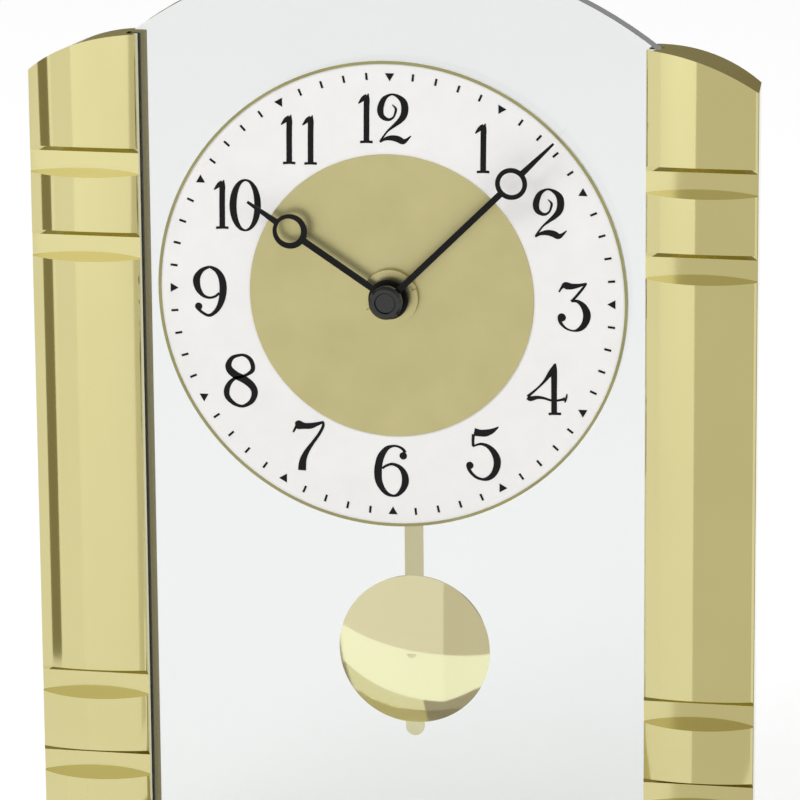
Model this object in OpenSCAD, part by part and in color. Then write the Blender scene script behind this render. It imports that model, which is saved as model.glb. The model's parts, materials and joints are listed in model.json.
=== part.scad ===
// Desk pendulum clock. X runs to the right of the dial, the dial faces -Y, and Z is up from the table.

/* [Base] */
// How far the base reaches past the columns' outer sides
base_margin = 10; // [6:0.5:24]
// Depth of the base from front to back
base_d = 63; // [60:1:100]
// Height of the base's top above the table
base_top_z = 20; // [18:0.5:30]
// Radius of the base's corners seen from above
base_corner_r = 8; // [6.5:0.5:20]
// Radius of the rounded shoulder round the base's top edge
base_shoulder_r = 5; // [2:0.5:6]
// Thickness of the base shell's wall
base_wall = 2.5; // [1.5:0.1:3]
// Thickness of the cover that closes the base from below
cover_t = 2; // [2:0.1:3]
// Gap between the cover and the shell's wall
cover_gap = 0.3; // [0.2:0.1:1]
// Height of the rubber feet below the cover
foot_h = 2; // [1:0.25:4]
// Radius of a rubber foot
foot_r = 7; // [4:0.5:8]
// Distance from the base's edge to a foot's centre
foot_inset = 16; // [13:1:18]
// Thickness of the ballast plate
ballast_t = 5; // [2:0.5:5]
// Width of the ballast plate
ballast_w = 120; // [60:1:130]
// Depth of the ballast plate
ballast_d = 46; // [30:1:50]

/* [Columns] */
// Distance from the middle of the clock to a column's inner side
column_in_x = 64.5; // [62:0.5:66]
// Width of a column
column_w = 28; // [26:0.5:30]
// Height of a column's inner top edge above the table
column_top_z = 233; // [228:1:260]
// Radius of the arc that a column's top follows down to its outer side
column_top_r = 44.5; // [36:0.5:80]
// How steeply the top of a column falls towards its back, in degrees
top_fall = 4.5; // [0:0.5:6]
// How far a column's front edges stand in front of the glass
column_proud = 2.5; // [2.2:0.1:8]
// How far the front face bulges past its edges
front_bulge = 5; // [4:0.25:8]
// How far the back face bulges past its edges
back_bulge = 2.6; // [2:0.1:5]
// How much narrower a column is at its back, on its outer side
back_taper = 1.2; // [0.5:0.1:2]
// Wall of the column shells
shell_wall = 1.8; // [1.2:0.1:2.4]
// Depth of the back shell behind the glass, at its edges
back_depth = 6.7; // [5:0.1:9]
// Radius of the rounded edges along a column's front
front_edge_r = 1.5; // [0.6:0.1:2]

/* [Column bands] */
// Distance from a column's top down to the upper lip of its highest band
upper_band_down = 29.2; // [26:0.1:40]
// Height above the base of the upper lip of the highest of the lower bands
lower_band_up = 46.6; // [38:0.1:52]
// Distance between the two bands of a pair
band_pitch = 21.7; // [16:0.1:22]
// Height of a band's recess
band_h = 6.8; // [4:0.2:9]
// How far a band's flat floor lies behind the column's front edges
band_floor = 0.8; // [0.4:0.1:1.2]
// Height of the sloped wall under a band's upper lip
band_slope_h = 1.3; // [0.6:0.1:2]

/* [Glass] */
// Thickness of the glass pane
glass_t = 5; // [4:0.25:5.5]
// Distance of the glass's front face in front of the middle of the base
glass_front = 3.5; // [2:0.5:6]
// How far the glass's arched top rises above the columns
glass_rise = 22.1; // [16:0.1:30]
// How far the glass reaches into each column
glass_in_column = 8; // [6:0.5:9]
// How far the glass reaches down into the base
glass_in_base = 6; // [4:0.5:6]
// Gap round the glass inside the columns and the base
glass_gap = 0.5; // [0.3:0.1:1]
// Radius of the hole for the movement's bush
glass_hole_r = 5; // [4.6:0.1:6]

/* [Dial] */
// Height of the dial's centre above the table
dial_z = 168; // [164:0.5:172]
// Radius of the dial
dial_r = 60; // [56:0.5:60]
// Thickness of the dial plate
dial_t = 1; // [0.6:0.1:1.5]
// Width of the gold line round the dial
rim_w = 0.7; // [0.5:0.1:2]
// Thickness of the gold line and of the centre disc
trim_t = 0.3; // [0.2:0.05:0.6]
// Radius of the gold disc in the middle of the dial
disc_r = 36.3; // [30:0.1:40]
// Distance from the dial's edge in to the middle of the minute marks
marks_in = 3.8; // [3:0.1:6]
// Length of a minute mark
mark_l = 1.8; // [1:0.1:2.4]
// Width of a minute mark
mark_w = 0.55; // [0.3:0.05:0.8]
// Side of the triangle that marks every fifth minute
triangle_side = 2.3; // [1.6:0.1:3]

/* [Hands] */
// Angle of the minute hand past twelve, in degrees
minute_angle = 45.4; // [0:0.1:359]
// Angle of the hour hand past twelve, in degrees
hour_angle = 303.5; // [0:0.1:359]
// Length of the minute hand from the centre
minute_l = 59.4; // [56:0.1:60]
// Distance of the minute hand's ring from the centre
minute_ring_at = 44.5; // [40:0.1:48]
// Outer radius of the minute hand's ring
minute_ring_r = 4; // [3:0.1:5]
// Length of the hour hand from the centre
hour_l = 43; // [40:0.1:46]
// Distance of the hour hand's ring from the centre
hour_ring_at = 30; // [26:0.1:32]
// Outer radius of the hour hand's ring
hour_ring_r = 4.4; // [3:0.1:5.4]
// Width of the hands' bars
hand_w = 1.6; // [1:0.1:2.4]
// Thickness of the hands
hand_t = 0.5; // [0.3:0.05:0.8]
// Gap between one hand and the next
hand_gap = 1.9; // [1.4:0.1:2.4]
// Radius of the hour hand's hub
hour_hub_r = 5.1; // [3.6:0.1:5.6]
// Radius of the cap that holds the minute hand
cap_r = 4.3; // [3:0.1:5]
// Height of the cap
cap_h = 2; // [1:0.1:3]
// Radius of the round nut in front of the dial
nut_r = 7.1; // [5.5:0.1:8.5]
// Thickness of the round nut
nut_t = 1.5; // [1:0.1:2]

/* [Movement] */
// Width of the movement's case
case_w = 56; // [56:0.5:58]
// Distance from the dial's centre up to the case's top
case_up = 42; // [41:0.5:43]
// Distance from the dial's centre down to the case's bottom
case_down = 33.5; // [33:0.5:36]
// Depth of the case from its front face to its back face
case_d = 17.5; // [17.5:0.1:18]
// Thickness of the case's walls
case_wall = 1.5; // [1.2:0.1:1.6]
// Thickness of the rubber washer between the case and the glass
washer_t = 1; // [0.8:0.1:1.4]
// Outer radius of the threaded bush
bush_r = 4; // [3.8:0.1:4.4]
// Outer radius of the hour tube
hour_tube_r = 2.6; // [2.4:0.05:2.8]
// Radius of the minute arbor
minute_arbor_r = 1.7; // [1.5:0.05:1.8]
// Clearance between a turning piece and what it runs in
run_gap = 0.07; // [0.03:0.01:0.09]
// Radius of the thin ends of the small arbors
pivot_r = 0.5; // [0.4:0.05:0.6]
// Radius of the setting knob
knob_r = 4.5; // [3.5:0.1:5]
// Radius of the knob's shaft
knob_shaft_r = 1.5; // [1:0.1:1.6]
// Length of the setting knob behind the case
knob_l = 3; // [2:0.25:5]
// Radius of the battery
battery_r = 7.2; // [7:0.05:7.25]
// Room that the button and the contacts take at the battery's ends
battery_room = 4; // [3.8:0.1:5]

/* [Gears] */
// Module of the gears between the minute hand, the hour hand and the knob
motion_module = 0.35; // [0.34:0.01:0.36]
// Module of the going train's last pair
train_module = 0.3; // [0.29:0.01:0.31]
// Module of the going train's middle pair
middle_module = 0.25; // [0.24:0.01:0.26]
// Module of the going train's fast pairs
fast_module = 0.22; // [0.21:0.01:0.23]
// Thickness of a wheel
wheel_t = 0.8; // [0.6:0.05:1]
// Thickness of a pinion
pinion_t = 1.2; // [1:0.05:1.4]

/* [Pendulum] */
// Distance of the pendulum's plane behind the dial's face
pendulum_behind = 29; // [28.5:0.1:31]
// Height of the pendulum's pivot above the dial's centre
pivot_up = 24; // [22:0.5:26]
// Distance from the dial's centre down to the bob's centre
bob_down = 100.9; // [90:0.1:104]
// Radius of the bob
bob_r = 19.9; // [16:0.1:22]
// How far the bob's front bulges
bob_bulge = 4.2; // [2:0.1:6]
// Thickness of the bob's sheet
bob_sheet = 0.8; // [0.5:0.1:1.2]
// Width of the pendulum's rod
rod_w = 4.8; // [3:0.1:6]
// Thickness of the pendulum's rod
rod_t = 0.8; // [0.5:0.1:1.2]
// How far the rod's end shows below the bob
rod_tail = 3.6; // [2:0.1:6]
// Radius of the pendulum's pivot pin
pin_r = 1; // [0.8:0.05:1.3]

/* [Screws] */
// Radius of the screws' shanks
screw_r = 1.4; // [1.2:0.05:1.5]
// Radius of the screws' heads
screw_head_r = 2.6; // [2.2:0.1:2.8]
// Height of the screws' heads
screw_head_h = 1.4; // [1:0.1:1.6]
// Radius of the posts that the screws bite into
post_r = 3; // [2.8:0.1:3.4]

/* [Hidden] */

// Finishes as the photograph shows them
gold = "#d9cf96";
satin_gold = "#bdb37f";
white = "#ecebe8";
black = "#161616";
steel = "#a8abad";
brass = "#cbb26a";
smoke = "#2b2b2d";

// Fineness of the round shapes
$fn = 64;
// Overshoot that lets a cut pass cleanly through a face
eps = 0.05;

// Clearances: round a screw's shank, round its head, and past the end of its hole
shank_gap = 0.2;
head_gap = 0.3;
tip_gap = 0.6;
// Flats that make up each rounded front edge of a column
edge_steps = 4;

// Glass, dial and column planes along Y
glass_y = -glass_front;
glass_back_y = glass_y + glass_t;
dial_y = glass_y - dial_t;
face_y = dial_y - trim_t;
column_edge_y = glass_y - column_proud;
column_back_y = glass_back_y + back_depth;
column_out_x = column_in_x + column_w;
column_mid_x = column_in_x + column_w / 2;
base_w = 2 * (column_out_x + base_margin);

// Heights of the base's inside
cover_z = foot_h;
cover_top_z = cover_z + cover_t;
base_in_z = base_top_z - base_wall;
glass_bottom_z = base_top_z - glass_in_base;

// The glass's sides and the arc of its top, which dips into the columns exit_w inside them
exit_w = 3.5;
exit_dip = 1.3;
glass_side_x = column_in_x + glass_in_column;
glass_side_z = column_top_z - 16;
glass_top_z = column_top_z + glass_rise;
exit_x = column_in_x + exit_w;
arch_h = glass_rise + exit_dip;
glass_arch_r = (exit_x * exit_x + arch_h * arch_h) / (2 * arch_h);
arch_z = glass_top_z - glass_arch_r;

// Movement planes along Y
case_front_y = glass_back_y + washer_t;
case_in_y = case_front_y + case_wall;
case_back_y = case_front_y + case_d;
back_in_y = case_back_y - case_wall;
motion_y = case_in_y + 0.5;
cannon_y = motion_y + 1.7;
centre_wheel_y = cannon_y + 2.8;
third_y = centre_wheel_y + 2.3;
fourth_y = third_y + 1.7;
middle_y = fourth_y + 1.6;
plate_y = middle_y + 1.9;
plate_t = 1;

// Hand planes along Y, each at a piece's back face
bush_front_y = face_y - nut_t - 0.8;
hour_hand_y = bush_front_y - 1;
hour_hub_h = 1.2;
hour_tube_end_y = hour_hand_y - hour_hub_h - 0.2;
minute_hand_y = hour_hand_y - hand_t - hand_gap;
cap_y = minute_hand_y - hand_t;
hand_seat_r = minute_arbor_r - 0.5;

// Tooth counts of the motion work, two steps that make twelve to one
cannon_teeth = 15;
minute_wheel_teeth = 45;
minute_pinion_teeth = 12;
hour_wheel_teeth = 48;
knob_teeth = 15;

// Tooth counts of the going train, from the centre wheel up to the rotor
centre_teeth = 64;
third_pinion_teeth = 8;
third_teeth = 60;
fourth_pinion_teeth = 8;
fourth_teeth = 60;
middle_pinion_teeth = 10;
middle_teeth = 50;
rotor_teeth = 10;

// Directions from each arbor to the next, in degrees seen from the front
to_minute_wheel = -15;
to_knob = -10;
to_third = 140;
to_fourth = 75;
to_middle = 20;
to_rotor = 10;

// Places of the arbors round the dial's centre
function step(from, angle, l) = [from[0] + l * cos(angle), from[1] + l * sin(angle)];
function spacing(a, b, m) = (a + b) * m / 2;
centre_at = [0, 0];
minute_wheel_at = step(centre_at, to_minute_wheel, spacing(cannon_teeth, minute_wheel_teeth, motion_module));
knob_at = step(minute_wheel_at, to_knob, spacing(minute_wheel_teeth, knob_teeth, motion_module));
third_at = step(centre_at, to_third, spacing(centre_teeth, third_pinion_teeth, train_module));
fourth_at = step(third_at, to_fourth, spacing(third_teeth, fourth_pinion_teeth, middle_module));
middle_at = step(fourth_at, to_middle, spacing(fourth_teeth, middle_pinion_teeth, fast_module));
rotor_at = step(middle_at, to_rotor, spacing(middle_teeth, rotor_teeth, fast_module));

// Phase of a gear that meshes with another one lying in direction angle
function mesh(phase, teeth, mate_teeth, angle) = angle + 180 + (180 - (phase - angle) * teeth) / mate_teeth;
minute_wheel_phase = mesh(0, cannon_teeth, minute_wheel_teeth, to_minute_wheel);
hour_wheel_phase = mesh(0, minute_pinion_teeth, hour_wheel_teeth, to_minute_wheel + 180);
knob_phase = mesh(minute_wheel_phase, minute_wheel_teeth, knob_teeth, to_knob);
third_pinion_phase = mesh(0, centre_teeth, third_pinion_teeth, to_third);
fourth_pinion_phase = mesh(0, third_teeth, fourth_pinion_teeth, to_fourth);
middle_pinion_phase = mesh(0, fourth_teeth, middle_pinion_teeth, to_middle);
rotor_phase = mesh(0, middle_teeth, rotor_teeth, to_rotor);

// Small arbors between their pivots, and the stud of the minute wheel
arbor_r = pivot_r + 0.2;
stud_r = 0.8;
arbor_y = case_in_y + 0.25;

// Rotor, stator and coil
magnet_r = 2.8;
magnet_t = 2.6;
magnet_y = case_in_y + 4;
rotor_hole_r = magnet_r + 0.5;
stator_t = 1;
stator_side = 5.5;
stator_below = 5;
stator_block_w = 11;
stator_x = rotor_at[0] - stator_side;
stator_z = rotor_at[1] - stator_below;
stator_h = 18;
stator_arm = 3.5;
coil_r = 3.4;
coil_room = 2.1;
coil_x = case_w / 2 - case_wall - coil_room - coil_r;
core_w = 3;

// Circuit board with its chip body and its crystal can
board_gap = 0.6;
board_w = 8;
board_h = 35;
board_t = 1;
board_low = 5;
chip_r = 2.2;
chip_t = 1.2;
chip_up = 4;
can_w = 2.2;
can_h = 6.5;
can_t = 2;
can_up = 20;

// Battery and its bay
battery_l = case_w - 2 * case_wall - battery_room;
battery_z = -case_down + case_wall + battery_r + 0.4;
battery_y = (case_in_y + back_in_y) / 2;
contact_t = 0.4;
contact_w = 8;
button_r = 2.75;
button_h = 1;

// Pendulum planes along Y
pendulum_y = dial_y + pendulum_behind;
rod_front_y = pendulum_y - rod_t / 2;
rod_back_y = pendulum_y + rod_t / 2;
hanger_t = 2;
hanger_y = rod_front_y - hanger_t;
hanger_w = 9;
hanger_boss_r = 2.6;
pin_boss_r = 3;
boss_h = 2.2;
pin_in = 0.6;
clip_t = 0.5;
clip_r = 2.2;
clip_y = rod_front_y + 0.2;
pin_end_y = clip_y + clip_t + 0.3;
magnet_up = 9;
drive_magnet_r = 3.5;
drive_magnet_t = 1.2;
hook_down = 10;
hook_r = 1;
drive_coil_r = 5.5;
drive_coil_t = 4;
eye_z = pivot_up - hook_down + 3;
rod_end_z = -bob_down - bob_r - rod_tail;

// Screws: lengths, seats and places
foot_x = base_w / 2 - foot_inset;
foot_y = base_d / 2 - foot_inset;
base_screw_in = 28;
base_screw_side = 9.5;
base_screw_x = [-base_w / 2 + base_screw_in, base_w / 2 - base_screw_in];
base_screw_y = [-base_d / 2 + base_screw_side, base_d / 2 - base_screw_side];
base_screw_seat_z = cover_z + screw_head_h;
base_screw_l = 8;
foot_screw_l = 12;
column_screw_out = 4;
column_screw_up = 60;
column_screw_drop = 68;
column_screw_sink = 0.2;
column_screw_x = column_mid_x + column_screw_out;
column_screw_z = [base_top_z + column_screw_up, column_top_z - column_screw_drop];
column_screw_seat_y = column_back_y - column_screw_sink;
column_screw_tip_y = column_edge_y - front_bulge / 2;
case_screw_r = screw_r - 0.3;
case_screw_in = 4.5;
case_screw_low = 9;
case_screw_sink = 0.9;
case_screw_bite = 6;
case_screw_x = case_w / 2 - case_screw_in;
case_screw_z = [case_up - case_screw_in, -case_screw_low];
case_screw_seat_y = case_back_y - case_screw_sink;
case_screw_tip_y = back_in_y - case_screw_bite;

// Train plate and the posts that carry it
plate_left = 17;
plate_w = 34;
plate_low = 11;
plate_pin_gap = 0.4;
plate_h = plate_low + pivot_up - pin_boss_r - plate_pin_gap;
post_left = 15.2;
post_right = 14;
post_low = 8.5;
post_high = 17;
post_mid = 10;
train_posts = [[-post_left, -post_low], [post_right, post_mid], [-post_left, post_high]];
train_post_r = 1.8;

// Puts what it draws on the dial's axis, facing the front, with its back at y
module at_dial(y, at = [0, 0]) {
    translate([at[0], y, dial_z + at[1]])
        rotate([90, 0, 0])
            children();
}

// A disc on the dial's axis from y_back forward to y_front
module dial_disc(r, y_back, y_front, at = [0, 0]) {
    at_dial(y_back, at)
        cylinder(r = r, h = y_back - y_front);
}

// The same on both sides of the middle
module both_sides() {
    children();
    mirror([1, 0, 0])
        children();
}

module gear_outline(teeth, m, phase) {
    pitch_r = teeth * m / 2;
    root_r = pitch_r - 1.15 * m;
    tip_r = pitch_r + 0.8 * m;
    tooth = 360 / teeth;
    // Half widths of a tooth at its root and its tip, as parts of a tooth's step
    root_part = 0.29;
    tip_part = 0.11;
    polygon([
        for (i = [0 : teeth - 1], k = [0 : 3])
            let (
                part = [-root_part, -tip_part, tip_part, root_part][k],
                r = [root_r, tip_r, tip_r, root_r][k],
                a = phase + (i + part) * tooth
            )
            [r * cos(a), r * sin(a)]
    ]);
}

// A gear whose back face is at y, with a hole of radius hole_r when that is above zero
module gear(teeth, m, t, y, at, phase, hole_r = 0) {
    at_dial(y, at)
        linear_extrude(t)
            difference() {
                gear_outline(teeth, m, phase);
                if (hole_r > 0) circle(hole_r);
            }
}

// A pan-head screw along +Z with its head's underside at the origin and its shank going up
module screw_up(l) {
    translate([0, 0, -screw_head_h])
        difference() {
            cylinder(r = screw_head_r, h = screw_head_h);
            for (a = [0, 90])
                rotate([0, 0, a])
                    translate([0, 0, screw_head_h / 4 - eps])
                        cube([screw_head_r * 1.1, 0.6, screw_head_h / 2 + 2 * eps], center = true);
        }
    cylinder(r = screw_r, h = l);
}

// Base

// Half of a section through the base, w wide, with its shoulder of radius r
module shoulder_half(w, h, r) {
    union() {
        square([w - r, h]);
        square([w, h - r]);
        translate([w - r, h - r]) circle(r);
    }
}

// A slab with round corners of radius corner and a round shoulder of radius r
module shouldered_slab(w, d, h, corner, r) {
    for (sx = [-1, 1], sy = [-1, 1])
        translate([sx * (w / 2 - corner), sy * (d / 2 - corner), 0])
            rotate_extrude()
                intersection() {
                    shoulder_half(corner, h, r);
                    square([corner, h]);
                }
    for (s = [0, 1])
        rotate([90, 0, s * 90])
            linear_extrude((s == 0 ? d : w) - 2 * corner, center = true)
                for (m = [0, 1])
                    mirror([m, 0])
                        shoulder_half(s == 0 ? w / 2 : d / 2, h, r);
}

module base_shell() color(gold) {
    difference() {
        union() {
            difference() {
                translate([0, 0, cover_z])
                    shouldered_slab(base_w, base_d, base_top_z - cover_z, base_corner_r, base_shoulder_r);
                translate([0, 0, cover_z - eps])
                    shouldered_slab(
                        base_w - 2 * base_wall, base_d - 2 * base_wall, base_in_z - cover_z + eps,
                        base_corner_r - base_wall, base_shoulder_r / 2
                    );
            }
            for (x = base_screw_x, y = base_screw_y)
                translate([x, y, cover_top_z])
                    cylinder(r = post_r, h = base_in_z - cover_top_z + eps);
            glass_trough(base_wall, base_in_z + eps);
        }
        glass_trough(0, base_top_z + 1);
        for (x = base_screw_x, y = base_screw_y)
            translate([x, y, cover_z])
                cylinder(r = screw_r, h = screw_head_h + base_screw_l + tip_gap);
        both_sides()
            for (at = foot_screw_places)
                translate([at[0], at[1], cover_z])
                    cylinder(r = screw_r + shank_gap, h = base_top_z);
    }
}

// The slot that takes the glass's lower edge, or with a wall round it the block it is cut in
module glass_trough(wall, top_z) {
    half_w = glass_side_x + glass_gap + wall;
    bottom_z = glass_bottom_z - glass_gap - wall;
    translate([-half_w, glass_y - glass_gap - wall, bottom_z])
        cube([2 * half_w, glass_t + 2 * glass_gap + 2 * wall, top_z - bottom_z]);
}

module base_cover() color(smoke) {
    inset = base_wall + cover_gap;
    corner_r = base_corner_r - inset;
    difference() {
        translate([0, 0, cover_z])
            shouldered_slab(base_w - 2 * inset, base_d - 2 * inset, cover_t, corner_r, cover_t / 4);
        for (x = base_screw_x, y = base_screw_y)
            translate([x, y, cover_z - eps]) {
                cylinder(r = screw_r + shank_gap, h = cover_t + 2 * eps);
                cylinder(r = screw_head_r + head_gap, h = screw_head_h + eps);
            }
    }
}

module ballast_plate() color(steel) {
    translate([-ballast_w / 2, -ballast_d / 2, cover_top_z])
        cube([ballast_w, ballast_d, ballast_t]);
}

module rubber_feet() color(black) {
    for (sx = [-1, 1], sy = [-1, 1])
        translate([sx * foot_x, sy * foot_y, 0]) {
            cylinder(r1 = foot_r - 0.6, r2 = foot_r, h = 0.6);
            translate([0, 0, 0.6])
                cylinder(r = foot_r, h = foot_h - 0.6);
        }
}

module base_screws() color(steel) {
    for (x = base_screw_x, y = base_screw_y)
        translate([x, y, base_screw_seat_z])
            screw_up(base_screw_l);
}

// Columns

// Outline of a column seen from above, inset from its faces, with rounded front edges
module column_plan(inset = 0) {
    w = column_w - 2 * inset;
    front_y = column_edge_y + inset;
    back_y = column_back_y - inset;
    edge_r = max(front_edge_r - inset, 0.3);
    arc_r = (w * w / 4 + front_bulge * front_bulge) / (2 * front_bulge);
    arc_y = front_y - front_bulge + arc_r;
    // Middle of a rounded edge, which touches the side and the bulging face
    edge_x = w / 2 - edge_r;
    edge_y = arc_y - sqrt(pow(arc_r - edge_r, 2) - edge_x * edge_x);
    edge_turn = acos(edge_x / (arc_r - edge_r));
    edge = [
        for (k = [0:edge_steps])
            [edge_x, edge_y] + edge_r * [cos(k / edge_steps * edge_turn), -sin(k / edge_steps * edge_turn)]
    ];
    // The last flat runs on until it is well clear of the bulging face
    run_out = 4 * edge[edge_steps] - 3 * edge[edge_steps - 1];
    half = concat(
        [[w / 2, back_y]],
        [for (k = [0:edge_steps - 1]) edge[k]],
        [run_out, [run_out[0], front_y - 2 * front_bulge]]
    );
    translate([column_mid_x, 0]) {
        intersection() {
            translate([0, arc_y])
                circle(arc_r, $fn = 180);
            polygon(concat(
                [for (at = half) [-at[0], at[1]]],
                [for (k = [len(half) - 1:-1:0]) half[k]]
            ));
        }
        bulge(w, back_bulge, back_y, 1);
    }
}

// A shallow arc of width w and height h standing on the line at y
module bulge(w, h, y, side) {
    r = (w * w / 4 + h * h) / (2 * h);
    intersection() {
        translate([0, y - side * (r - h)])
            circle(r, $fn = 180);
        translate([-w / 2, side > 0 ? y - eps : y - h - eps])
            square([w, h + 2 * eps]);
    }
}

// Front view of a column: straight sides, and a top that falls along an arc to the outer side
module column_elevation(inset = 0) {
    top_z = column_top_z - inset;
    bottom_z = base_top_z - column_w;
    intersection() {
        translate([column_in_x + inset, bottom_z])
            square([column_w - 2 * inset, top_z - bottom_z]);
        union() {
            translate([column_in_x, column_top_z - column_top_r])
                circle(column_top_r - inset, $fn = 180);
            translate([column_in_x + inset, bottom_z])
                square([column_w - 2 * inset, top_z - bottom_z - column_top_r * 0.45]);
        }
    }
}

// Room on one side of the plane at y, large enough for a column
module half_space(y, side) {
    translate([0, side > 0 ? y : y - base_d, 0])
        cube([base_w, base_d, 2 * column_top_z]);
}

// Solid column, seen from above and from the front at once
module column_body(inset = 0, floor_z = 0) {
    taper_y = glass_y - column_proud / 2;
    intersection() {
        translate([0, 0, base_top_z + floor_z])
            linear_extrude(column_top_z)
                column_plan(inset);
        // The outer side runs inwards from just in front of the glass to the back
        translate([column_out_x - inset, taper_y, 0])
            rotate([0, 0, atan(back_taper / (column_back_y - taper_y))])
                translate([-base_w, -base_d, 0])
                    cube([base_w, 2 * base_d, 2 * column_top_z]);
        // The fall turns the top about its front edge
        translate([0, column_edge_y, column_top_z])
            rotate([90 - top_fall, 0, 0])
                linear_extrude(2 * base_d, center = true)
                    translate([0, -column_top_z])
                        column_elevation(inset);
    }
}

// Recess of one band: flat floor, level lower ledge and an upper wall that slopes
module band_cut(lip_z) {
    floor_y = column_edge_y + band_floor;
    out_y = column_edge_y - front_bulge - 2;
    // How much the upper wall rises towards the front
    lip_rise = 0.2;
    translate([column_in_x - 1, 0, 0])
        rotate([90, 0, 90])
            linear_extrude(column_w + 2)
                polygon([
                    [floor_y, lip_z - band_h],
                    [floor_y, lip_z - band_slope_h],
                    [column_edge_y, lip_z],
                    [out_y, lip_z + lip_rise * (column_edge_y - out_y)],
                    [out_y, lip_z - band_h]
                ]);
}

// Upper lips of the four bands
band_lips = [
    for (lip = [column_top_z - upper_band_down, base_top_z + lower_band_up], k = [0, 1])
        lip - k * band_pitch
];

// Places of the screws under a column, as x and y
foot_screw_places = [[column_mid_x + 2, column_edge_y - 1], [column_mid_x + 5, glass_back_y + 3]];

// Front shell of the right column
module column_front() {
    difference() {
        intersection() {
            column_body();
            half_space(glass_y, -1);
        }
        for (lip_z = band_lips)
            band_cut(lip_z);
        column_front_cavity();
        column_screw_holes(screw_r);
        foot_screw_holes();
    }
}

// Hollow of the front shell: shallow behind the bands, deep between them
module column_front_cavity() {
    back_of_band = column_edge_y + band_floor + shell_wall;
    difference() {
        intersection() {
            column_body(shell_wall, foot_screw_l + 2);
            half_space(glass_y + eps, -1);
        }
        for (lip_z = band_lips)
            translate([column_in_x, back_of_band - base_d, lip_z - band_h - shell_wall])
                cube([column_w, base_d, band_h + 2 * shell_wall + 1]);
        column_posts();
    }
}

// Posts inside both shells round the screws that join them
module column_posts() {
    for (z = column_screw_z)
        translate([column_screw_x, 0, z])
            rotate([90, 0, 0])
                cylinder(r = post_r, h = 2 * base_d, center = true);
}

// Holes for the screws that join the two shells of a column
module column_screw_holes(r) {
    for (z = column_screw_z)
        translate([column_screw_x, column_screw_tip_y - tip_gap, z])
            rotate([-90, 0, 0])
                cylinder(r = r, h = base_d);
}

// Holes in a column's foot for the screws from the base
module foot_screw_holes() {
    for (at = foot_screw_places)
        translate([at[0], at[1], base_in_z])
            cylinder(r = screw_r, h = foot_screw_l + tip_gap);
}

// Back shell of the right column, with the rebate that holds the glass
module column_back() {
    difference() {
        intersection() {
            column_body();
            half_space(glass_y, 1);
        }
        translate([column_in_x - 1, glass_y - 1, base_top_z - 1])
            cube([glass_in_column + 1 + glass_gap, glass_t + 1, glass_side_z - base_top_z + 1 + glass_gap]);
        glass_exit();
        column_back_cavity();
        column_screw_holes(screw_r + shank_gap);
        foot_screw_holes();
        for (z = column_screw_z)
            translate([column_screw_x, column_screw_seat_y, z])
                rotate([-90, 0, 0])
                    cylinder(r = screw_head_r + head_gap, h = 20);
    }
}

// Cut through a column's top where the glass's shoulder passes
module glass_exit() {
    rotate([90, 0, 0])
        translate([0, 0, -glass_back_y])
            linear_extrude(glass_t + 1)
                intersection() {
                    translate([0, arch_z])
                        circle(glass_arch_r + glass_gap, $fn = 360);
                    translate([0, glass_side_z - 1])
                        square([exit_x + glass_gap, column_top_z]);
                }
}

module column_back_cavity() {
    difference() {
        intersection() {
            column_body(shell_wall, foot_screw_l + 2);
            translate([glass_side_x + glass_gap + shell_wall, glass_y - 1, 0])
                cube([column_w, base_d, 2 * column_top_z]);
        }
        column_posts();
    }
}

module right_column_front() color(gold) column_front();

module left_column_front() color(gold) mirror([1, 0, 0]) column_front();

module right_column_back() color(gold) column_back();

module left_column_back() color(gold) mirror([1, 0, 0]) column_back();

module column_screws() color(steel) {
    both_sides()
        for (z = column_screw_z)
            translate([column_screw_x, column_screw_seat_y, z])
                rotate([90, 0, 0])
                    screw_up(column_screw_seat_y - column_screw_tip_y);
}

module column_foot_screws() color(steel) {
    both_sides()
        for (at = foot_screw_places)
            translate([at[0], at[1], base_in_z])
                screw_up(foot_screw_l);
}

// Glass

// Outline of the glass seen from the front: wide inside the columns, arched above them
module glass_outline() {
    translate([-glass_side_x, glass_bottom_z])
        square([2 * glass_side_x, glass_side_z - glass_bottom_z]);
    intersection() {
        translate([0, arch_z])
            circle(glass_arch_r, $fn = 360);
        translate([-exit_x, glass_side_z - eps])
            square([2 * exit_x, glass_top_z]);
    }
}

module glass_pane() color("#dfe5e6", 0.35) {
    translate([0, glass_back_y, 0])
        rotate([90, 0, 0])
            linear_extrude(glass_t)
                difference() {
                    glass_outline();
                    translate([0, dial_z])
                        circle(glass_hole_r);
                }
}

// Soft strips that bed the glass in the base and the columns
module glass_foot_strip() color(black) {
    translate([-glass_side_x, glass_y, glass_bottom_z - glass_gap])
        cube([2 * glass_side_x, glass_t, glass_gap]);
}

module glass_strip() {
    translate([glass_side_x, glass_y, base_top_z])
        cube([glass_gap, glass_t, glass_side_z - base_top_z]);
}

module right_glass_strip() color(black) glass_strip();

module left_glass_strip() color(black) mirror([1, 0, 0]) glass_strip();

// Dial

module dial_plate() color(white) {
    difference() {
        dial_disc(dial_r, glass_y, dial_y);
        dial_disc(glass_hole_r, glass_y + 1, dial_y - 1);
    }
}

module dial_rim() color(satin_gold) {
    difference() {
        dial_disc(dial_r, dial_y, face_y);
        dial_disc(dial_r - rim_w, dial_y + 1, face_y - 1);
    }
}

module dial_centre_disc() color(satin_gold) {
    difference() {
        dial_disc(disc_r, dial_y, face_y);
        dial_disc(glass_hole_r, dial_y + 1, face_y - 1);
    }
}

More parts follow.
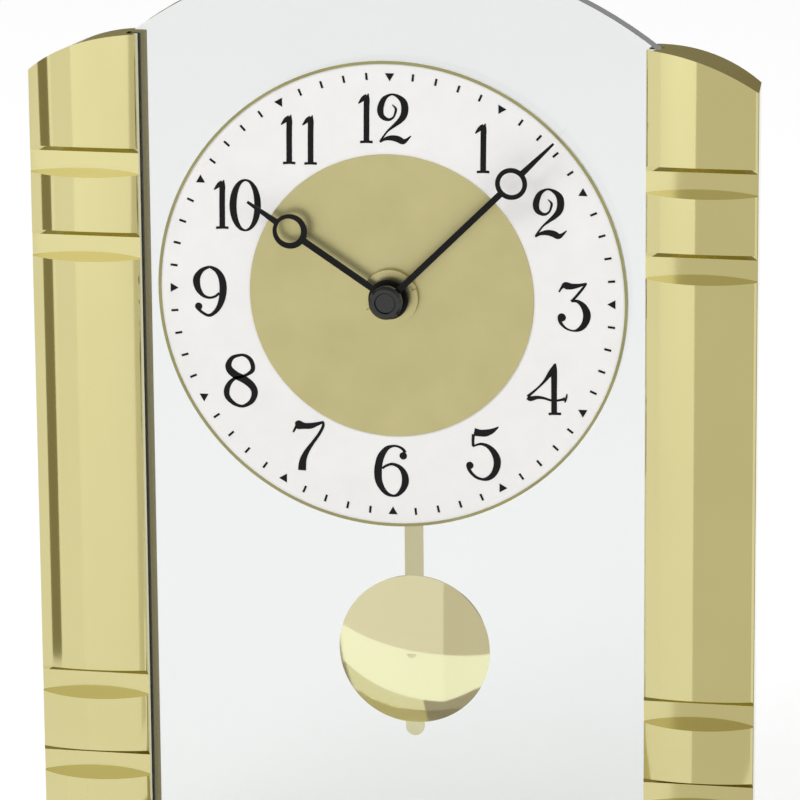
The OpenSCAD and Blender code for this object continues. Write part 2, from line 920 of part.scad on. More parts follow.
module minute_track() color(black) {
    // Height of the printed marks above the dial
    mark_t = 0.1;
    at_dial(dial_y)
        linear_extrude(mark_t)
            for (i = [0 : 59])
                rotate(-6 * i)
                    translate([0, dial_r - marks_in])
                        if (i % 5 == 0)
                            polygon([
                                [-triangle_side / 2, triangle_side * 0.29],
                                [triangle_side / 2, triangle_side * 0.29],
                                [0, -triangle_side * 0.58]
                            ]);
                        else
                            square([mark_w, mark_l], center = true);
}

module dial_nut() color(gold) {
    difference() {
        dial_disc(nut_r, face_y, face_y - nut_t);
        dial_disc(bush_r, face_y + 1, face_y - nut_t - 1);
        for (a = [25, 205])
            at_dial(face_y - nut_t + 0.6)
                rotate([0, 0, a])
                    translate([nut_r - 1.2, -0.6, 0])
                        cube([2, 1.2, 2]);
    }
}

// Hands

module hand_outline(l, ring_at, ring_r, ring_in_r, ring_shift) {
    difference() {
        union() {
            translate([-hand_w / 2, 0])
                square([hand_w, ring_at]);
            translate([0, ring_at])
                circle(ring_r);
            polygon([
                [-hand_w / 2, ring_at + ring_r - 0.6],
                [hand_w / 2, ring_at + ring_r - 0.6],
                [0.3, l],
                [-0.3, l]
            ]);
        }
        translate([0, ring_at + ring_shift])
            circle(ring_in_r);
    }
}

module minute_hand() color(black) {
    at_dial(minute_hand_y)
        rotate([0, 0, -minute_angle])
            linear_extrude(hand_t)
                difference() {
                    union() {
                        hand_outline(minute_l, minute_ring_at, minute_ring_r, minute_ring_r - 1.15, 0);
                        circle(cap_r - 0.4);
                    }
                    circle(hand_seat_r);
                }
}

// Turned cap with a dished front
module hand_cap() color(black) {
    difference() {
        at_dial(cap_y)
            rotate_extrude()
                polygon([
                    [0, 0], [cap_r, 0], [cap_r, cap_h * 0.6], [cap_r - 0.7, cap_h],
                    [cap_r - 1.6, cap_h], [cap_r - 1.9, cap_h * 0.8], [0, cap_h * 0.8]
                ]);
        dial_disc(hand_seat_r, cap_y + 1, cap_y - cap_h / 2);
    }
}

module hour_hand() color(black) {
    difference() {
        union() {
            at_dial(hour_hand_y)
                rotate([0, 0, -hour_angle])
                    linear_extrude(hand_t)
                        hand_outline(hour_l, hour_ring_at, hour_ring_r, hour_ring_r - 1.25, 0.3);
            dial_disc(hour_hub_r, hour_hand_y, hour_hand_y - hand_t);
            dial_disc(hour_tube_r + 0.9, hour_hand_y, hour_hand_y - hour_hub_h);
        }
        dial_disc(hour_tube_r, hour_hand_y + 1, hour_hand_y - 3);
    }
}

// Movement

// A box round the dial's centre from y_front to y_back, smaller by inset on every side
module case_block(y_front, y_back, inset) {
    w = case_w / 2 - inset;
    corner = 3 - min(inset, 2);
    at_dial(y_back)
        linear_extrude(y_back - y_front)
            union() {
                translate([-w + corner, -case_down + inset])
                    square([2 * (w - corner), case_up + case_down - 2 * inset]);
                translate([-w, -case_down + inset + corner])
                    square([2 * w, case_up + case_down - 2 * inset - 2 * corner]);
                for (side = [-1, 1], z = [inset + corner - case_down, case_up - inset - corner])
                    translate([side * (w - corner), z])
                        circle(corner);
            }
}

// The arbors that turn in the case's floor and in the train plate
train_places = [third_at, fourth_at, middle_at, rotor_at];

module movement_case() color(smoke) {
    difference() {
        union() {
            difference() {
                case_block(case_front_y, back_in_y, 0);
                case_block(case_in_y, back_in_y + 1, case_wall);
            }
            for (x = [-case_screw_x, case_screw_x], z = case_screw_z)
                dial_disc(2.2, back_in_y, case_in_y - eps, [x, z]);
            for (at = train_posts)
                dial_disc(train_post_r, plate_y, case_in_y - eps, at);
            // Stud on which the minute wheel turns
            dial_disc(stud_r, cannon_y + wheel_t + 0.4, case_in_y - eps, minute_wheel_at);
        }
        dial_disc(bush_r, case_in_y + 1, case_front_y - 1);
        for (at = concat([knob_at], train_places))
            dial_disc(pivot_r + run_gap, case_in_y + 1, case_front_y + 0.4, at);
        for (x = [-case_screw_x, case_screw_x], z = case_screw_z)
            dial_disc(case_screw_r, back_in_y + 1, case_screw_tip_y - tip_gap, [x, z]);
    }
}

module movement_back() color(smoke) {
    difference() {
        union() {
            case_block(back_in_y, case_back_y, 0);
            // Boss that holds the pendulum's pin
            dial_disc(pin_boss_r, back_in_y + eps, back_in_y - boss_h, [0, pivot_up]);
        }
        dial_disc(pin_r, case_back_y + 1, back_in_y - boss_h + pin_in, [0, pivot_up]);
        dial_disc(knob_shaft_r + run_gap, case_back_y + 1, back_in_y - 1, knob_at);
        for (x = [-case_screw_x, case_screw_x], z = case_screw_z) {
            dial_disc(case_screw_r + shank_gap, case_back_y + 1, back_in_y - 1, [x, z]);
            dial_disc(screw_head_r + head_gap, case_back_y + 1, case_screw_seat_y, [x, z]);
        }
    }
}

module movement_screws() color(steel) {
    for (x = [-case_screw_x, case_screw_x], z = case_screw_z) {
        dial_disc(case_screw_r, case_screw_seat_y + eps, case_screw_tip_y, [x, z]);
        difference() {
            dial_disc(screw_head_r, case_screw_seat_y + screw_head_h, case_screw_seat_y, [x, z]);
            translate([x, case_screw_seat_y + screw_head_h, dial_z + z])
                for (a = [0, 90])
                    rotate([0, a, 0])
                        cube([screw_head_r * 1.1, screw_head_h, 0.6], center = true);
        }
    }
}

module case_washer() color(black) {
    difference() {
        dial_disc(11, case_front_y, glass_back_y);
        dial_disc(bush_r + 0.2, case_front_y + 1, glass_back_y - 1);
    }
}

module threaded_bush() color(brass) {
    difference() {
        union() {
            dial_disc(bush_r, case_in_y, bush_front_y + 0.4);
            dial_disc(bush_r - 0.3, bush_front_y + 0.4 + eps, bush_front_y);
        }
        dial_disc(hour_tube_r + run_gap, case_in_y + 1, bush_front_y - 1);
    }
}

module train_plate() color(brass) {
    difference() {
        at_dial(plate_y + plate_t)
            linear_extrude(plate_t)
                translate([-plate_left, -plate_low])
                    square([plate_w, plate_h]);
        for (at = concat([centre_at], train_places))
            dial_disc(pivot_r + run_gap, plate_y + plate_t + 1, plate_y - 1, at);
    }
}

module minute_arbor() color(steel) {
    dial_disc(minute_arbor_r, plate_y - 0.4, minute_hand_y);
    dial_disc(hand_seat_r, minute_hand_y + 1, cap_y - cap_h / 2);
    dial_disc(pivot_r, plate_y + plate_t, plate_y - 1);
    gear(cannon_teeth, motion_module, pinion_t, cannon_y + pinion_t - 0.2, centre_at, 0);
}

module hour_wheel() color(brass) {
    difference() {
        union() {
            gear(hour_wheel_teeth, motion_module, wheel_t, motion_y + wheel_t, centre_at, hour_wheel_phase);
            dial_disc(hour_tube_r, motion_y + wheel_t, hour_tube_end_y);
        }
        dial_disc(minute_arbor_r + run_gap, motion_y + 3, hour_tube_end_y - 1);
    }
}

module minute_wheel() color(brass) {
    pinion_y = cannon_y + 2 * eps;
    bore_r = stud_r + run_gap;
    gear(
        minute_wheel_teeth, motion_module, wheel_t, cannon_y + wheel_t, minute_wheel_at,
        minute_wheel_phase, bore_r
    );
    pinion_l = pinion_y - motion_y + eps;
    gear(minute_pinion_teeth, motion_module, pinion_l, pinion_y, minute_wheel_at, 0, bore_r);
}

// A thin arbor from the case's floor to the train plate, thicker between its two pivots
module arbor(at) {
    dial_disc(pivot_r, plate_y + plate_t - 0.1, case_front_y + 0.6, at);
    dial_disc(arbor_r, plate_y - 0.2, arbor_y, at);
}

module setting_knob() color(smoke) {
    pinion_back_y = cannon_y + pinion_t - 0.2;
    knob_y = case_back_y + 0.5;
    dial_disc(pivot_r, cannon_y, case_front_y + 0.6, knob_at);
    gear(knob_teeth, motion_module, pinion_t, pinion_back_y, knob_at, knob_phase);
    dial_disc(knob_shaft_r, knob_y + eps, pinion_back_y - eps, knob_at);
    difference() {
        dial_disc(knob_r, knob_y + knob_l, knob_y, knob_at);
        for (i = [0 : 17])
            at_dial(knob_y + knob_l + 1, knob_at)
                rotate([0, 0, i * 20])
                    translate([knob_r + 0.15, 0, 0])
                        cylinder(r = 0.5, h = knob_l + 2, $fn = 16);
    }
}

module centre_wheel() color(brass) {
    difference() {
        union() {
            gear(centre_teeth, train_module, wheel_t, centre_wheel_y + wheel_t, centre_at, 0);
            dial_disc(minute_arbor_r + 1, centre_wheel_y + wheel_t + 0.6, centre_wheel_y - 0.6);
        }
        dial_disc(minute_arbor_r + run_gap, centre_wheel_y + 5, centre_wheel_y - 5);
    }
}

module third_wheel() color(brass) {
    gear(
        third_pinion_teeth, train_module, pinion_t, centre_wheel_y + pinion_t - 0.2, third_at,
        third_pinion_phase
    );
    gear(third_teeth, middle_module, wheel_t, third_y + wheel_t, third_at, 0);
    arbor(third_at);
}

module fourth_wheel() color(brass) {
    gear(
        fourth_pinion_teeth, middle_module, pinion_t, third_y + pinion_t - 0.2, fourth_at,
        fourth_pinion_phase
    );
    gear(fourth_teeth, fast_module, wheel_t, fourth_y + wheel_t, fourth_at, 0);
    arbor(fourth_at);
}

module intermediate_wheel() color(white) {
    gear(
        middle_pinion_teeth, fast_module, pinion_t, fourth_y + pinion_t - 0.2, middle_at,
        middle_pinion_phase
    );
    gear(middle_teeth, fast_module, wheel_t, middle_y + wheel_t, middle_at, 0);
    arbor(middle_at);
}

module rotor() color(white) {
    gear(rotor_teeth, fast_module, pinion_t, middle_y + pinion_t - 0.2, rotor_at, rotor_phase);
    dial_disc(magnet_r, magnet_y + magnet_t, magnet_y, rotor_at);
    arbor(rotor_at);
}

// Iron round the rotor, with a core that the coil sits on
module stator() color(steel) {
    mid_y = magnet_y + magnet_t / 2;
    window_x = stator_x + stator_block_w;
    difference() {
        at_dial(mid_y + stator_t / 2)
            linear_extrude(stator_t)
                difference() {
                    translate([stator_x, stator_z])
                        square([coil_x + core_w / 2 - stator_x, stator_h]);
                    translate([window_x, stator_z + stator_arm])
                        square([coil_x - core_w / 2 - window_x, stator_h - 2 * stator_arm]);
                }
        dial_disc(rotor_hole_r, mid_y + 4, mid_y - 4, rotor_at);
    }
}

module motor_coil() color("#b5562b") {
    l = stator_h - 2 * stator_arm - 0.6;
    translate([coil_x, magnet_y + magnet_t / 2, dial_z + stator_z + stator_arm + 0.3])
        difference() {
            cylinder(r = coil_r, h = l);
            translate([-core_w / 2, -stator_t / 2, -1])
                cube([core_w, stator_t, l + 2]);
        }
}

// Board on the case's floor with a round crystal can and a chip blob
module circuit_board() color("#2f6b3c") {
    board_x = -case_w / 2 + case_wall + board_gap;
    board_y = case_in_y + board_t;
    mid_x = board_x + board_w / 2;
    at_dial(board_y)
        translate([board_x, -board_low, 0])
            cube([board_w, board_h, board_t]);
    dial_disc(chip_r, board_y + chip_t, board_y - eps, [mid_x, chip_up]);
    at_dial(board_y + can_t)
        translate([mid_x - can_w / 2, can_up, 0])
            cube([can_w, can_h, can_t + eps]);
}

module drive_coil() color("#b5562b") {
    difference() {
        dial_disc(drive_coil_r, back_in_y, back_in_y - drive_coil_t, [0, pivot_up + magnet_up]);
        dial_disc(2, back_in_y + 1, back_in_y - drive_coil_t - 1, [0, pivot_up + magnet_up]);
    }
}

module battery() color("#3d4248") {
    translate([-battery_l / 2, battery_y, dial_z + battery_z])
        rotate([0, 90, 0]) {
            cylinder(r = battery_r, h = battery_l);
            translate([0, 0, battery_l - eps])
                cylinder(r = button_r, h = button_h + eps);
        }
}

// A plate at each end of the battery, one with a cone for its flat end and one with a pip for its button
module battery_contacts() color(steel) {
    x_in = case_w / 2 - case_wall;
    for (side = [-1, 1])
        translate([side * (x_in - contact_t / 2), battery_y, dial_z + battery_z]) {
            cube([contact_t, contact_w, contact_w], center = true);
            reach = x_in - contact_t / 2 - battery_l / 2 - (side > 0 ? button_h : 0);
            rotate([0, -side * 90, 0])
                cylinder(r1 = 3.5, r2 = side > 0 ? 1.5 : 2.5, h = reach);
        }
}

// Pendulum

module pivot_pin() color(steel) {
    dial_disc(pin_r, pin_end_y, back_in_y - boss_h + pin_in, [0, pivot_up]);
}

module pivot_clip() color(steel) {
    difference() {
        dial_disc(clip_r, clip_y + clip_t, clip_y, [0, pivot_up]);
        dial_disc(pin_r, clip_y + clip_t + 1, clip_y - 1, [0, pivot_up]);
    }
}

// Arm that swings on the pin, with a boss towards the case, a magnet above and a stud for the rod below
module pendulum_hanger() color(smoke) {
    difference() {
        union() {
            at_dial(hanger_y + hanger_t)
                linear_extrude(hanger_t)
                    union() {
                        translate([-hanger_w / 2, pivot_up - hook_down])
                            square([hanger_w, magnet_up + hook_down]);
                        translate([0, pivot_up + magnet_up])
                            circle(hanger_w / 2);
                    }
            dial_disc(hanger_boss_r, hanger_y + eps, case_back_y + 0.3, [0, pivot_up]);
            dial_disc(hook_r, rod_back_y + 0.4, hanger_y + hanger_t - eps, [0, eye_z]);
        }
        dial_disc(pin_r + run_gap, pendulum_y + 3, case_back_y - 3, [0, pivot_up]);
        dial_disc(drive_magnet_r, hanger_y + drive_magnet_t, hanger_y - 1, [0, pivot_up + magnet_up]);
    }
}

module drive_magnet() color(steel) {
    dial_disc(drive_magnet_r, hanger_y + drive_magnet_t, hanger_y, [0, pivot_up + magnet_up]);
}

module pendulum_rod() color(gold) {
    difference() {
        at_dial(rod_back_y)
            linear_extrude(rod_t)
                union() {
                    translate([0, eye_z])
                        circle(rod_w / 2);
                    translate([-rod_w / 2, rod_end_z + rod_w / 2])
                        square([rod_w, eye_z - rod_end_z - rod_w / 2]);
                    translate([0, rod_end_z + rod_w / 2])
                        circle(rod_w / 2);
                }
        dial_disc(hook_r, pendulum_y + 3, pendulum_y - 3, [0, eye_z]);
    }
}

// Dish of the bob: a shallow cap of sheet, open towards the back
module bob_front() color(gold) {
    dish_r = (bob_r * bob_r + bob_bulge * bob_bulge) / (2 * bob_bulge);
    at_dial(rod_front_y, [0, -bob_down])
        rotate_extrude($fn = 180)
            difference() {
                intersection() {
                    translate([0, bob_bulge - dish_r])
                        circle(dish_r, $fn = 360);
                    square([bob_r, bob_bulge]);
                }
                intersection() {
                    translate([0, bob_bulge - dish_r])
                        circle(dish_r - bob_sheet, $fn = 360);
                    translate([-1, -1])
                        square([bob_r, bob_bulge + 1]);
                }
            }
}

// Flat back of the bob, with a rim round the rod's thickness that is open where the rod passes
module bob_back() color(gold) {
    rim = 1.2;
    difference() {
        dial_disc(bob_r - 0.3, rod_back_y + bob_sheet, rod_front_y, [0, -bob_down]);
        dial_disc(bob_r - 0.3 - rim, rod_back_y, rod_front_y - 1, [0, -bob_down]);
        translate([-rod_w / 2, rod_front_y - 1, dial_z - bob_down - bob_r - 1])
            cube([rod_w, rod_t + 1, 2 * bob_r + 2]);
    }
}

base_shell();
base_cover();
ballast_plate();
rubber_feet();
base_screws();
column_foot_screws();
left_column_front();
right_column_front();
left_column_back();
right_column_back();
column_screws();
glass_pane();
glass_foot_strip();
left_glass_strip();
right_glass_strip();
dial_plate();
dial_rim();
dial_centre_disc();
minute_track();
dial_nut();
movement_case();
movement_back();
movement_screws();
case_washer();
threaded_bush();
train_plate();
minute_arbor();
minute_hand();
hand_cap();
hour_wheel();
hour_hand();
minute_wheel();
setting_knob();
centre_wheel();
third_wheel();
fourth_wheel();
intermediate_wheel();
rotor();
stator();
motor_coil();
circuit_board();
drive_coil();
battery();
battery_contacts();
pivot_pin();
pivot_clip();
pendulum_hanger();
drive_magnet();
pendulum_rod();
bob_front();
bob_back();
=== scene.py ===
"""Desk pendulum clock: materials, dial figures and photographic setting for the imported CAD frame."""
import json
import math

import bmesh
import bpy
from mathutils import Matrix, Vector

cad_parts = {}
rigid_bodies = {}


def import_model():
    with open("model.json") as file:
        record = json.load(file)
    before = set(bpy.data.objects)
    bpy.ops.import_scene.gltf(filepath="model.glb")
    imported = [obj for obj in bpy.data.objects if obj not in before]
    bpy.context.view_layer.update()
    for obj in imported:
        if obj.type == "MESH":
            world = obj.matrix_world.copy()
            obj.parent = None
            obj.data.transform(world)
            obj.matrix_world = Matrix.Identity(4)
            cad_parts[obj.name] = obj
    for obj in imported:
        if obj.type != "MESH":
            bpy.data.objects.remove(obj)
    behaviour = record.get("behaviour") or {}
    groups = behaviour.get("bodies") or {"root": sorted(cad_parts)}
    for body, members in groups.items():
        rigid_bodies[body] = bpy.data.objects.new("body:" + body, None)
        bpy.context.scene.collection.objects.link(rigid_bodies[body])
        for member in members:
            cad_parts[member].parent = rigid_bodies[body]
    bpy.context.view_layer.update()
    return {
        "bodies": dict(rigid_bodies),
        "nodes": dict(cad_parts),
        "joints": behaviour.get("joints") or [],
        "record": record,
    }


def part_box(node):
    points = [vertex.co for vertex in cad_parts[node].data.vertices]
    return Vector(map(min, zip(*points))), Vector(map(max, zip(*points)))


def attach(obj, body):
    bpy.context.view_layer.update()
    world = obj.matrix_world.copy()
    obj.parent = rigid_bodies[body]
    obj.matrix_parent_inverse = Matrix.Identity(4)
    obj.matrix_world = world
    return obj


MM = 0.001

# Strokes of the dial's figures: x and z from the figure's middle and half the stroke's width, in mm
DIGITS = {
    "0": [
        [(3.20, 0.12, 0.84), (3.00, 2.58, 0.78), (2.34, 4.65, 0.61), (1.34, 6.01, 0.38),
         (0.13, 6.45, 0.26), (-1.08, 5.92, 0.44), (-2.13, 4.49, 0.68), (-2.85, 2.37, 0.85),
         (-3.13, -0.11, 0.91), (-2.93, -2.58, 0.85), (-2.27, -4.65, 0.68), (-1.26, -6.02, 0.44),
         (-0.06, -6.47, 0.26), (1.16, -5.93, 0.38), (2.21, -4.49, 0.61), (2.93, -2.36, 0.78)],
    ],
    "1": [
        [(0.54, 6.32, 0.08), (0.16, 4.70, 0.69), (0.03, 2.40, 0.72), (-0.07, -5.78, 0.72)],
        [(-2.02, 3.71, 0.13), (-0.75, 5.02, 0.59), (0.17, 5.56, 0.66)],
        [(-1.67, -6.09, 0.31), (-0.08, -5.93, 0.33), (1.51, -5.98, 0.31)],
    ],
    "2": [
        [(-0.45, 3.56, 0.10), (0.38, 2.73, 0.28), (0.45, 2.02, 0.30), (-0.12, 0.43, 0.25),
         (-1.45, -0.28, 0.38), (-3.07, 0.56, 0.66), (-3.46, 2.37, 0.81), (-2.75, 4.58, 0.66),
         (-1.65, 5.70, 0.38), (-0.31, 6.15, 0.25), (1.26, 5.54, 0.51), (2.47, 4.26, 0.84),
         (2.76, 2.58, 0.91), (2.44, 0.87, 0.84), (1.44, -0.51, 0.66), (-0.14, -1.88, 0.41),
         (-1.60, -3.15, 0.25), (-2.70, -4.54, 0.23), (-3.58, -5.89, 0.25)],
        [(-3.63, -6.09, 0.20), (-2.48, -5.29, 0.38), (-0.77, -4.90, 0.66), (0.92, -5.15, 0.81),
         (2.14, -5.69, 0.76), (3.10, -5.31, 0.41), (4.25, -4.23, 0.13)],
    ],
    "3": [
        [(-3.77, 3.80, 0.18), (-2.93, 5.09, 0.38), (-2.15, 5.50, 0.92), (-0.61, 5.36, 0.76),
         (1.21, 5.64, 0.48), (3.25, 6.28, 0.20)],
        [(3.12, 6.10, 0.25), (1.71, 4.22, 0.33), (-0.08, 2.05, 0.33), (-0.68, 1.51, 0.36)],
        [(-0.61, 1.57, 0.25), (0.96, 1.58, 0.41), (2.50, 0.33, 0.76), (3.31, -1.74, 0.97),
         (2.88, -3.86, 0.84), (1.72, -5.35, 0.61), (0.05, -6.01, 0.23), (-1.89, -5.50, 0.26),
         (-3.31, -4.12, 0.41), (-3.61, -2.82, 0.51)],
        [(-3.06, -2.69, 1.05)],
    ],
    "4": [
        [(2.21, 6.79, 0.15), (1.91, 4.92, 0.72), (1.88, -0.62, 0.72), (1.88, -6.09, 0.72)],
        [(0.48, -6.36, 0.31), (2.08, -6.21, 0.33), (3.68, -6.21, 0.31)],
        [(2.11, 6.55, 0.31), (1.02, 4.39, 0.62), (-0.68, 1.96, 0.33), (-2.64, -0.09, 0.26),
         (-4.83, -2.05, 0.39)],
        [(-4.96, -2.34, 0.46), (-4.10, -2.59, 0.62), (-2.39, -2.20, 0.44), (-0.69, -2.31, 0.31),
         (1.01, -2.78, 0.28), (2.46, -2.79, 0.28), (3.91, -2.50, 0.31), (4.65, -2.26, 0.51)],
        [(5.18, -0.99, 0.15), (4.95, -2.09, 0.26), (4.60, -3.19, 0.18)],
    ],
    "5": [
        [(-2.38, 5.55, 1.03), (-0.90, 5.31, 0.88), (0.56, 5.37, 0.90), (2.04, 5.88, 0.67),
         (3.14, 6.56, 0.36), (3.86, 7.13, 0.13)],
        [(-2.57, 4.92, 0.41), (-2.68, 3.17, 0.36), (-2.63, 1.81, 0.34)],
        [(-2.76, 1.73, 0.23), (-1.66, 2.22, 0.26), (-0.55, 2.45, 0.34), (1.03, 2.00, 0.49),
         (2.51, 0.66, 0.75), (3.43, -1.31, 0.93), (3.39, -3.29, 0.88), (2.59, -5.21, 0.75),
         (1.26, -6.40, 0.57), (-0.23, -6.75, 0.34), (-1.95, -6.23, 0.36), (-3.40, -4.86, 0.41),
         (-3.93, -3.50, 0.52)],
        [(-3.52, -3.24, 0.93)],
    ],
    "6": [
        [(3.52, 4.83, 0.42), (2.96, 5.74, 0.36), (1.70, 6.39, 0.29), (0.31, 6.44, 0.31),
         (-1.29, 5.66, 0.60), (-2.70, 3.60, 0.88), (-3.29, 1.48, 0.94), (-3.49, -0.63, 0.99),
         (-3.33, -2.75, 0.91), (-2.54, -4.58, 0.73), (-1.29, -6.05, 0.52), (0.44, -6.60, 0.31),
         (1.84, -6.03, 0.50), (3.11, -4.32, 0.78), (3.57, -2.43, 0.91), (3.24, -0.56, 0.78),
         (2.10, 1.01, 0.52), (0.27, 1.72, 0.36), (-1.33, 1.22, 0.31), (-2.40, 0.47, 0.29)],
        [(3.05, 3.99, 0.96)],
    ],
    "7": [
        [(-3.80, 3.24, 0.21), (-3.16, 4.40, 0.34), (-2.63, 5.08, 0.47)],
        [(-3.25, 5.21, 0.57), (-2.45, 5.24, 1.15), (-0.95, 5.02, 0.81), (0.68, 5.09, 0.76),
         (2.29, 5.58, 0.52), (3.69, 6.12, 0.31), (4.19, 6.24, 0.21)],
        [(4.03, 6.13, 0.31), (3.91, 4.95, 0.36), (2.83, 2.91, 0.39), (1.20, 0.61, 0.44),
         (-0.33, -1.67, 0.63), (-1.24, -3.71, 0.84), (-1.54, -5.38, 0.99), (-1.61, -6.67, 1.02)],
    ],
    "8": [
        [(-0.06, 6.66, 0.34), (-2.12, 5.90, 0.50), (-3.16, 4.05, 0.76), (-2.71, 2.55, 0.94),
         (-1.10, 1.26, 0.99), (0.78, 0.37, 0.99), (2.68, -1.06, 0.94), (3.54, -2.80, 0.83),
         (3.04, -4.76, 0.70), (1.81, -6.05, 0.50), (0.00, -6.71, 0.37), (-2.04, -5.96, 0.50),
         (-3.52, -4.37, 0.68), (-3.70, -2.57, 0.73), (-2.92, -0.75, 0.57), (-1.52, 0.54, 0.39),
         (0.04, 1.02, 0.34), (1.63, 1.64, 0.39), (3.02, 2.80, 0.55), (3.10, 4.31, 0.57),
         (2.37, 5.80, 0.52), (1.16, 6.58, 0.39)],
    ],
    "9": [
        [(0.10, 6.33, 0.31), (-1.80, 5.46, 0.52), (-3.12, 3.75, 0.83), (-3.36, 2.10, 0.91),
         (-2.85, 0.23, 0.73), (-1.65, -1.23, 0.44), (-0.03, -1.72, 0.31), (1.48, -1.27, 0.31),
         (2.45, -0.40, 0.31)],
        [(0.10, 6.33, 0.31), (1.88, 5.44, 0.60), (3.06, 3.73, 0.83), (3.49, 1.57, 0.93),
         (3.41, -0.36, 0.91), (2.96, -2.56, 0.78), (1.84, -4.79, 0.57), (-0.10, -6.32, 0.39),
         (-1.99, -5.64, 0.36), (-3.21, -4.44, 0.47)],
        [(-2.92, -4.04, 0.94)],
    ],
}

# Every figure on the dial: the digits of one number, each with its middle from the dial's centre, in mm
NUMERALS = {
    "1": [("1", 23.58, 38.65)],
    "2": [("2", 40.29, 22.67)],
    "3": [("3", 46.37, -1.10)],
    "4": [("4", 39.50, -22.50)],
    "5": [("5", 23.34, -39.90)],
    "6": [("6", -0.33, -45.44)],
    "7": [("7", -21.86, -39.73)],
    "8": [("8", -39.05, -23.58)],
    "9": [("9", -46.78, -0.57)],
    "10": [("1", -43.18, 21.98), ("0", -37.26, 21.99)],
    "11": [("1", -25.73, 39.23), ("1", -20.26, 39.29)],
    "12": [("1", -5.96, 45.27), ("2", 1.03, 45.40)],
}
CLOSED_DIGITS = ("0", "8")
FIGURE_RELIEF = 0.08
FIGURE_SEAT = 0.03
# Each stroke of a figure stands this much prouder than the one before, so no two faces share one plane
FIGURE_STEP = 0.004
STROKE_STEPS = 5
SPOT_STEPS = 28

# The camera, from the point it looks at
AIM = Vector((2.0, -4.5, 141.1)) * MM
CAMERA_YAW = math.radians(11.28)
CAMERA_PITCH = math.radians(14.7)
CAMERA_ROLL = math.radians(-0.44)
CAMERA_DISTANCE = 1400 * MM
CAMERA_SENSOR = 36.0
CAMERA_LENS = 249.98
CAMERA_CLIP = (0.05, 50.0)

# The studio, in mm: floor, room tones seen in reflections, lamps and glowing cards that paint
# reflections into the metal
FLOOR_HALF = 4000
FLOOR_GLOW = 0.5
WORLD_FILL = 0.5
# Tones by height in the sky, from the horizon up, in front of the clock and behind it
FRONT_TONES = [(0.0, 0.95), (0.12, 1.1), (0.21, 1.7), (0.3, 1.3), (0.45, 0.8), (1.0, 0.5)]
# The two meet within this much of the side, as a share of the view's direction
TONES_BLEND = 0.25
BACK_TONES = [(0.0, 0.9), (0.35, 0.88), (0.7, 0.6), (1.0, 0.5)]
# Name, place, point it lights, width and height, watts
LAMPS = [
    ("key_lamp", (-900, -1500, 1500), (0, 0, 130), (1400, 1100), 20),
    ("fill_lamp", (1300, -1200, 900), (0, 0, 130), (1200, 1000), 7),
]
# Dark olive painted reflection, glowing from cards into the metal's steep and grazing sides
PAINTED_REFLECTION_OLIVE = (0.25, 0.22, 0.11)
# Name, left and right foot on the floor plan, heights of those ends as low and high, glow it shows in
# the metal as a painted reflection
CARDS = [
    # A dark painted reflection in the outer side of the left column's front
    ("stripe_card", (-302, -78), (-272, -137), (-10, 330), (-10, 330), (0.33, 0.30, 0.2)),
    # A pale painted reflection that keeps that dark card out of the right column
    ("plain_card", (-120, -38), (-120, -110), (-10, 330), (-10, 330), (1.15, 1.15, 1.15)),
    # A painted reflection in the right column's outer half
    ("right_card", (58, -100), (330, -60), (-10, 400), (-10, 400), (0.84, 0.81, 0.73)),
    # Dark painted reflections in the columns' tops, inner side and outer side
    ("top_card", (-1200, 1500), (1200, 1500), (-10, 450), (-10, 450), PAINTED_REFLECTION_OLIVE),
    ("inner_side_card", (-62, 45), (-36, 45), (-10, 300), (-10, 300), PAINTED_REFLECTION_OLIVE),
    ("outer_side_card", (92, 60), (120, 60), (-10, 300), (-10, 300), PAINTED_REFLECTION_OLIVE),
    # Painted highlights and reflections in the bob, from glowing cards between it and the glass
    ("bob_top_card", (-52, 3), (11, 3), (69.5, 140), (61.4, 140), (1.41, 1.38, 1.57)),
    ("bob_side_card", (11, 3), (44, 3), (61.4, 140), (57, 140), (1.03, 0.98, 0.98)),
    ("bob_band_card", (-52, 3), (11, 3), (44.5, 69.5), (31, 61.4), (1.85, 1.97, 2.4)),
    ("bob_band_end_card", (11, 3), (44, 3), (31, 61.4), (42, 57), (1.75, 1.86, 2.2)),
    ("bob_low_card", (-52, 2.2), (0, 2.2), (20.5, 60), (20.5, 60), (1.37, 1.37, 1.29)),
    ("bob_low_end_card", (0, 2.2), (44, 2.2), (20.5, 60), (20.5, 60), (0.58, 0.53, 0.44)),
]


def colour(r, g, b):
    """A colour given as the 0-255 values seen on a screen."""
    def linear(c):
        c /= 255
        return c / 12.92 if c <= 0.04045 else ((c + 0.055) / 1.055) ** 2.4
    return (linear(r), linear(g), linear(b), 1.0)


def ramp_node(tree, factor, stops):
    """A colour ramp with these stops, driven by factor."""
    made = tree.nodes.new("ShaderNodeValToRGB")
    elements = made.color_ramp.elements
    while len(elements) < len(stops):
        elements.new(0.5)
    for element, (at, value) in zip(elements, stops):
        element.position = at
        element.color = value
    tree.links.new(factor, made.inputs["Fac"])
    return made.outputs["Color"]


def place_mesh(name, verts, faces, material):
    """A new object of these faces, in the scene, with its material."""
    mesh = bpy.data.meshes.new(name)
    mesh.from_pydata(verts, [], faces)
    mesh.validate()
    mesh.update()
    piece = bpy.data.objects.new(name, mesh)
    bpy.context.scene.collection.objects.link(piece)
    piece.data.materials.append(material)
    return piece


